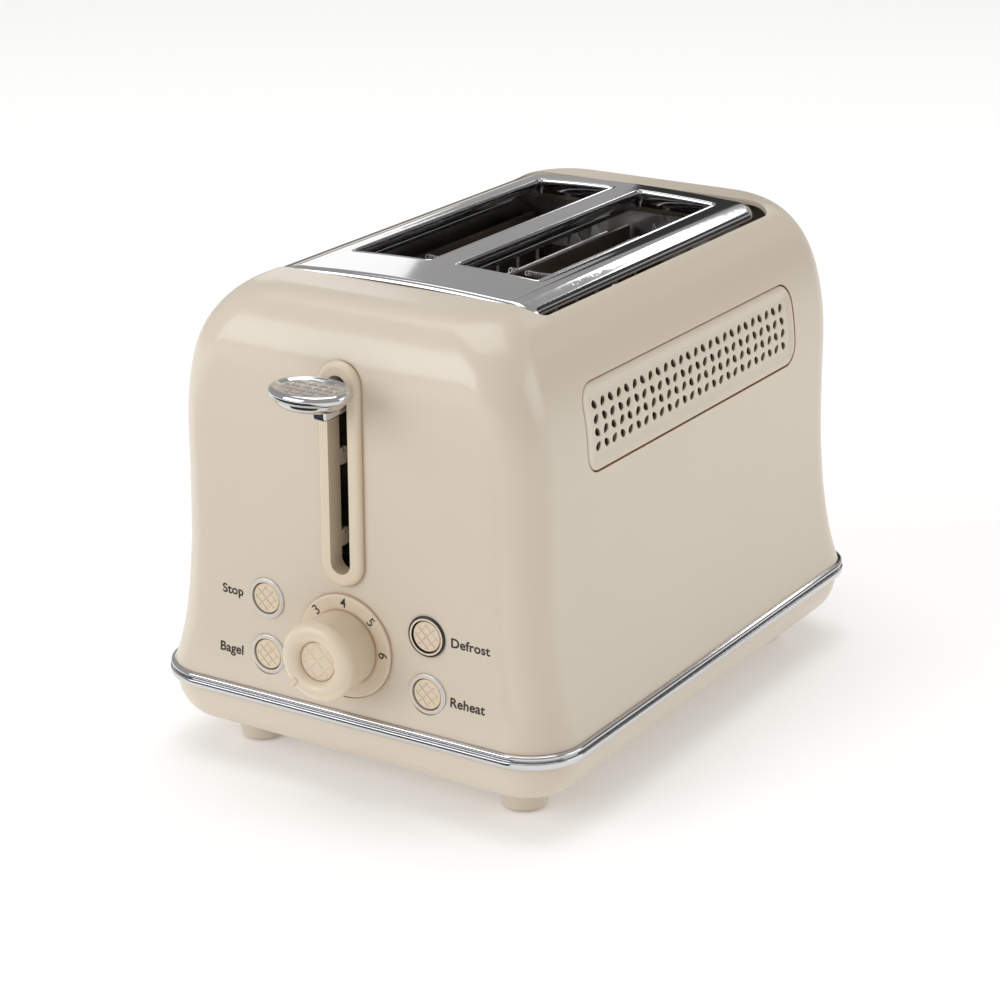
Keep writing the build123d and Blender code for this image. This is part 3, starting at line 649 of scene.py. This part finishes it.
def waffle_cap(name, node, radius, spacing, body, behind):
    """A thin cap with soft crossed grooves on a node's front face; behind is that face's set-back."""
    low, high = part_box(node)
    centre = Vector(((low.x + high.x) / 2, low.y + behind, (low.z + high.z) / 2))
    flat, cut, faces = dish_points(radius, spacing, cap_groove_half_w, cap_groove_depth, cap_step,
                                   math.radians(45), cap_sides)
    proud = 0.12 * soft_step((radius - np.hypot(flat[:, 0], flat[:, 1])) / 1.2) - 0.06
    points = np.stack((flat[:, 0], cut - proud, flat[:, 1]), axis=1) * MM + np.array(centre)
    shown(name, mesh_of(name, points, faces), "waffle_cream", body)


button_cap_r, button_groove_spacing = 5.7, 3.4
for button in button_names:
    waffle_cap(f"button_face_{button}", f"button_{button}", button_cap_r, button_groove_spacing,
               f"button_{button}", 0.0)

# Cream inner rings on the bezels, which leave a narrow coloured rim outside.
lip_inner_r, lip_outer_r, lip_rise = 6.9, 7.7, 0.09
lip_profile = (  # radius, and how far out from the bezel's face, in mm
    (lip_inner_r, -0.3), (lip_inner_r, lip_rise * 0.4), (lip_inner_r + 0.1, lip_rise),
    (lip_outer_r - 0.1, lip_rise), (lip_outer_r, lip_rise * 0.4), (lip_outer_r, -0.3),
    (lip_inner_r, -0.3),
)
lip_turns = np.linspace(0, 2 * np.pi, 72, endpoint=False)
for button in button_names:
    low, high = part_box(f"bezel_{button}")
    lip_rings = [np.column_stack(((low.x + high.x) / 2 + radius * MM * np.cos(lip_turns),
                                  np.full(len(lip_turns), low.y - rise * MM),
                                  (low.z + high.z) / 2 + radius * MM * np.sin(lip_turns)))
                 for radius, rise in lip_profile]
    lip_points, lip_faces = ring_stack(lip_rings, len(lip_turns))
    shown(f"bezel_lip_{button}", mesh_of(f"bezel_lip_{button}", lip_points, lip_faces), "control_cream",
          "housing")

dial_cap_r, dial_groove_spacing, dial_dish_back = 8.0, 5.2, 3.4 * MM
waffle_cap("dial_face", "dial_knob", dial_cap_r, dial_groove_spacing, "dial", dial_dish_back)


# ---- Inside the slots: coiled heating wire and bright end tabs ----------------------------------
def tube(name, path, radius, material, body, sides=8):
    """A round wire along a path of points in metres."""
    path = np.array(path)
    ahead = np.gradient(path, axis=0)
    ahead /= np.linalg.norm(ahead, axis=1)[:, None]
    points, faces = [], []
    side_way = np.cross(ahead[0], (0.31, 0.17, 0.93))
    for centre, forward in zip(path, ahead):
        side_way = side_way - forward * side_way.dot(forward)
        side_way /= np.linalg.norm(side_way)
        other = np.cross(forward, side_way)
        for k in range(sides):
            angle = 2 * math.pi * k / sides
            points.append(centre + radius * (math.cos(angle) * side_way + math.sin(angle) * other))
    for level in range(len(path) - 1):
        for k in range(sides):
            a, b = level * sides + k, level * sides + (k + 1) % sides
            faces.append((a, b, b + sides, a + sides))
    faces.append(tuple(reversed(range(sides))))
    faces.append(tuple(range(len(points) - sides, len(points))))
    return shown(name, mesh_of(name, points, faces), material, body)


def coil_path(start, end, sag, radius, pitch):
    """A coil hung between two points, drooping by sag in its middle."""
    start, end = np.array(start), np.array(end)
    count = int(np.linalg.norm(end - start) / pitch)
    share = np.linspace(0, 1, count * 10)
    line = start + (end - start) * share[:, None]
    line[:, 2] -= sag * 4 * share * (1 - share)
    turn = 2 * math.pi * count * share
    line[:, 0] += radius * np.cos(turn)
    line[:, 2] += radius * np.sin(turn)
    return line


def end_tab(name, x, y, z, width, height, lean):
    """A bent, pointed sheet tab standing on the rear chassis plate."""
    outline = [(-width / 2, 0), (width / 2, 0), (width * 0.38, height * 0.62), (0, height),
               (-width * 0.45, height * 0.4)]
    points = [(x + u, y - lean * v / height, z + v) for u, v in outline]
    points += [(px, py + tab_sheet, pz) for px, py, pz in points]
    faces = [(0, 1, 2, 3, 4), (9, 8, 7, 6, 5)]
    faces += [(k, k + 5, (k + 1) % 5 + 5, (k + 1) % 5) for k in range(5)]
    tab = shown(name, mesh_of(name, points, faces), "wire", "housing")
    for face in tab.data.polygons:
        face.use_smooth = False


board_gap = 4.1 * MM
outer_x = 46.3 * MM
slot_rear_y = slot_mid_y + slot_half_l
coil_heights = (184 * MM, 166 * MM)
coil_rear, coil_front, coil_climb, coil_sag = 4 * MM, 92 * MM, 6 * MM, 7 * MM
coil_r, coil_pitch, coil_wire_r = 1.2 * MM, 2.1 * MM, 0.32 * MM
board_sides = {
    "left_outer": -outer_x, "left_inner": -board_gap, "right_inner": board_gap, "right_outer": outer_x,
}
for board, x in board_sides.items():
    for row, z in enumerate(coil_heights):
        wire_path = coil_path((x, slot_rear_y - coil_rear, z),
                              (x, slot_rear_y - coil_front, z + coil_climb),
                              coil_sag, coil_r, coil_pitch)
        tube(f"heating_coil_{board}_{row + 1}", wire_path, coil_wire_r, "wire", "housing", 6)
tab_sheet, tab_stand_off = 0.6 * MM, 0.9 * MM
tab_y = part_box("chassis_rear")[0].y - tab_stand_off
tab_sizes = (  # shift from the slot's middle, foot height, width, height and lean, in mm
    (-11, 175, 9, 18, 6), (-2, 170, 8, 15, 4), (9, 174, 7, 17, 5),
)
for side, side_name in ((-1, "left"), (1, "right")):
    middle = side * slot_mid_x
    for index, (shift, z, width, height, lean) in enumerate(tab_sizes):
        end_tab(f"end_tab_{side_name}_{index + 1}", middle + shift * MM, tab_y, z * MM, width * MM,
                height * MM, lean * MM)

# ---- Return spring: a coil that stretches between the chassis and the carriage -------------------------
spring_low, spring_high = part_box("carriage_spring")
spring_x, spring_y = (spring_low.x + spring_high.x) / 2, (spring_low.y + spring_high.y) / 2
spring_turns, spring_r, spring_wire_r, spring_clear = 15, 3.6 * MM, 0.5 * MM, 0.6 * MM
points_per_turn = 16
spring_share = np.linspace(0, 1, spring_turns * points_per_turn)
spring_angle = 2 * math.pi * spring_turns * spring_share
spring_line = np.stack((
    spring_x + spring_r * np.cos(spring_angle),
    spring_y + spring_r * np.sin(spring_angle),
    spring_low.z + spring_clear + (spring_high.z - spring_low.z - 2 * spring_clear) * spring_share,
), axis=1)
spring = tube("return_spring", spring_line, spring_wire_r, "rod_steel", None)
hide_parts("carriage_spring")
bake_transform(spring)

# ---- Trim band: a rounded upper lip, a deep groove and a broad rounded band ----------------------
band_low, band_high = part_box("base_trim_band")
band_mid_y = (band_low.y + band_high.y) / 2
band_outer = 2.4
shell_half_w = band_high.x - band_outer * MM
shell_half_l = (band_high.y - band_low.y) / 2 - band_outer * MM
shell_corner = 22.6 * MM
band_profile = (  # how far out from the shell's foot, and height above the band's lower edge, in mm
    (-3.0, 0.05), (0.9, 0.05), (1.6, 0.15), (2.05, 0.5), (2.28, 1.0), (2.36, 1.6), (2.38, 2.2),
    (2.38, 2.8), (2.3, 3.15), (2.0, 3.3), (0.9, 3.35), (0.1, 3.5), (0.1, 4.1), (0.9, 4.25), (1.6, 4.3),
    (1.85, 4.45), (1.98, 4.75), (1.98, 5.2), (1.8, 5.65), (1.4, 5.95), (-0.4, 6.02), (-3.0, 6.02),
)
whole_side = 1.0  # a step longer than any side, so that each straight side is a single face
band_rings = []
for out, rise in band_profile:
    ring = rounded_loop(shell_half_w + out * MM, shell_half_l + out * MM, shell_corner + out * MM,
                        whole_side, 24)
    band_rings.append(np.column_stack((ring[:, 0], ring[:, 1] + band_mid_y,
                                       np.full(len(ring), band_low.z + rise * MM))))
band_points, band_faces = ring_stack(band_rings, len(band_rings[0]))
shown("trim_band", mesh_of("trim_band", band_points, band_faces), "chrome", "housing",
      replaces=("base_trim_band",))

# ---- Light, floor and camera ----------------------------------------------
floor_size = 12.0
floor_mesh = bpy.data.meshes.new("floor")
floor_form = bmesh.new()
bmesh.ops.create_grid(floor_form, x_segments=1, y_segments=1, size=floor_size)
floor_form.to_mesh(floor_mesh)
floor_form.free()
floor = bpy.data.objects.new("floor", floor_mesh)
bpy.context.collection.objects.link(floor)
floor_finish = finish_of("floor_pale", (0.93, 0.93, 0.93), (0.925, 0.925, 0.925), 0.8, specular=0.1)
floor_shader = floor_finish.node_tree.nodes["Principled BSDF"]
floor_shader.inputs["Emission Color"].default_value = (1, 1, 1, 1)
floor_shader.inputs["Emission Strength"].default_value = 0.2
floor_mesh.materials.append(floor_finish)

world = bpy.data.worlds.new("studio")
bpy.context.scene.world = world
world.use_nodes = True
sky = world.node_tree.nodes["Background"]
sky.inputs["Color"].default_value = (1.0, 0.985, 0.965, 1)
sky.inputs["Strength"].default_value = 0.43


def soft_light(name, place, aim, width, height, power, colour=(1, 1, 1)):
    """A rectangular soft box at place, turned to face aim."""
    lamp = bpy.data.lights.new(name, "AREA")
    lamp.shape = "RECTANGLE"
    lamp.size, lamp.size_y = width, height
    lamp.energy = power
    lamp.color = colour
    box = bpy.data.objects.new(name, lamp)
    box.location = place
    box.rotation_euler = (Vector(aim) - Vector(place)).to_track_quat("-Z", "Y").to_euler()
    box.visible_camera = False
    bpy.context.collection.objects.link(box)


def dark_card(name, place, aim, width, height, gloss_only=False):
    """A dark board that the camera can't see, for the chrome to reflect. With gloss_only it
    neither shades the toaster nor lights it."""
    form = bmesh.new()
    bmesh.ops.create_grid(form, x_segments=1, y_segments=1, size=0.5)
    mesh = bpy.data.meshes.new(name)
    form.to_mesh(mesh)
    form.free()
    mesh.materials.append(finish_of(name, (0.03, 0.03, 0.03), (0.04, 0.04, 0.04), 0.9))
    card = bpy.data.objects.new(name, mesh)
    card.location = place
    card.scale = (width, height, 1)
    card.rotation_euler = (Vector(aim) - Vector(place)).to_track_quat("Z", "Y").to_euler()
    card.visible_camera = False
    card.visible_diffuse = card.visible_shadow = not gloss_only
    bpy.context.collection.objects.link(card)


soft_light("front", (-1.25, -2.3, 1.1), (0, 0, 0.1), 2.0, 1.7, 30.5, (0.985, 1.0, 1.03))
soft_light("side", (2.4, 1.15, 1.0), (0, 0, 0.1), 1.8, 1.4, 12)
soft_light("top", (-0.3, 0.2, 3.2), (0, 0, 0.0), 2.6, 2.6, 43)
soft_light("back", (0.35, 2.9, 1.95), (0, 0, 0.2), 2.4, 0.22, 5)
soft_light("back_left", (-2.62, 3.0, 1.15), (0, 0, 0.2), 0.9, 1.0, 2.6)
dark_card("back_card", (-1.05, 3.0, 1.05), (0, 0, 0.2), 1.0, 0.9)
dark_card("floor_card", (-0.28, -0.40, 0.003), (-0.28, -0.40, 1.0), 0.7, 0.44, gloss_only=True)
dark_card("low_card", (-1.0, -1.72, 0.22), (0, 0, 0.1), 1.6, 0.3, gloss_only=True)
dark_card("right_card", (1.76, 2.56, 0.83), (0, 0, 0.2), 1.4, 0.8, gloss_only=True)
dark_card("high_card", (1.05, 2.45, 1.62), (0, 0, 0.2), 1.1, 0.5, gloss_only=True)

camera_target = Vector((-0.01091, 0.01175, 0.08446))
camera_azimuth = math.radians(32.0224)
camera_elevation = math.radians(19.8082)
camera_distance = 1.22736
camera_roll = math.radians(-0.1355)
sensor_mm, focal_mm = 36, 100.8
back = Vector((
    math.sin(camera_azimuth) * math.cos(camera_elevation),
    -math.cos(camera_azimuth) * math.cos(camera_elevation),
    math.sin(camera_elevation),
))
lens = bpy.data.cameras.new("camera")
lens.sensor_width = sensor_mm
lens.lens = focal_mm
camera = bpy.data.objects.new("camera", lens)
camera.location = camera_target + back * camera_distance
camera.rotation_mode = "QUATERNION"
camera.rotation_quaternion = (-back).to_track_quat("-Z", "Y") @ Quaternion((0, 0, 1), camera_roll)
bpy.context.collection.objects.link(camera)
bpy.context.scene.camera = camera
bpy.context.scene.view_settings.view_transform = "Standard"

bpy.context.view_layer.update()
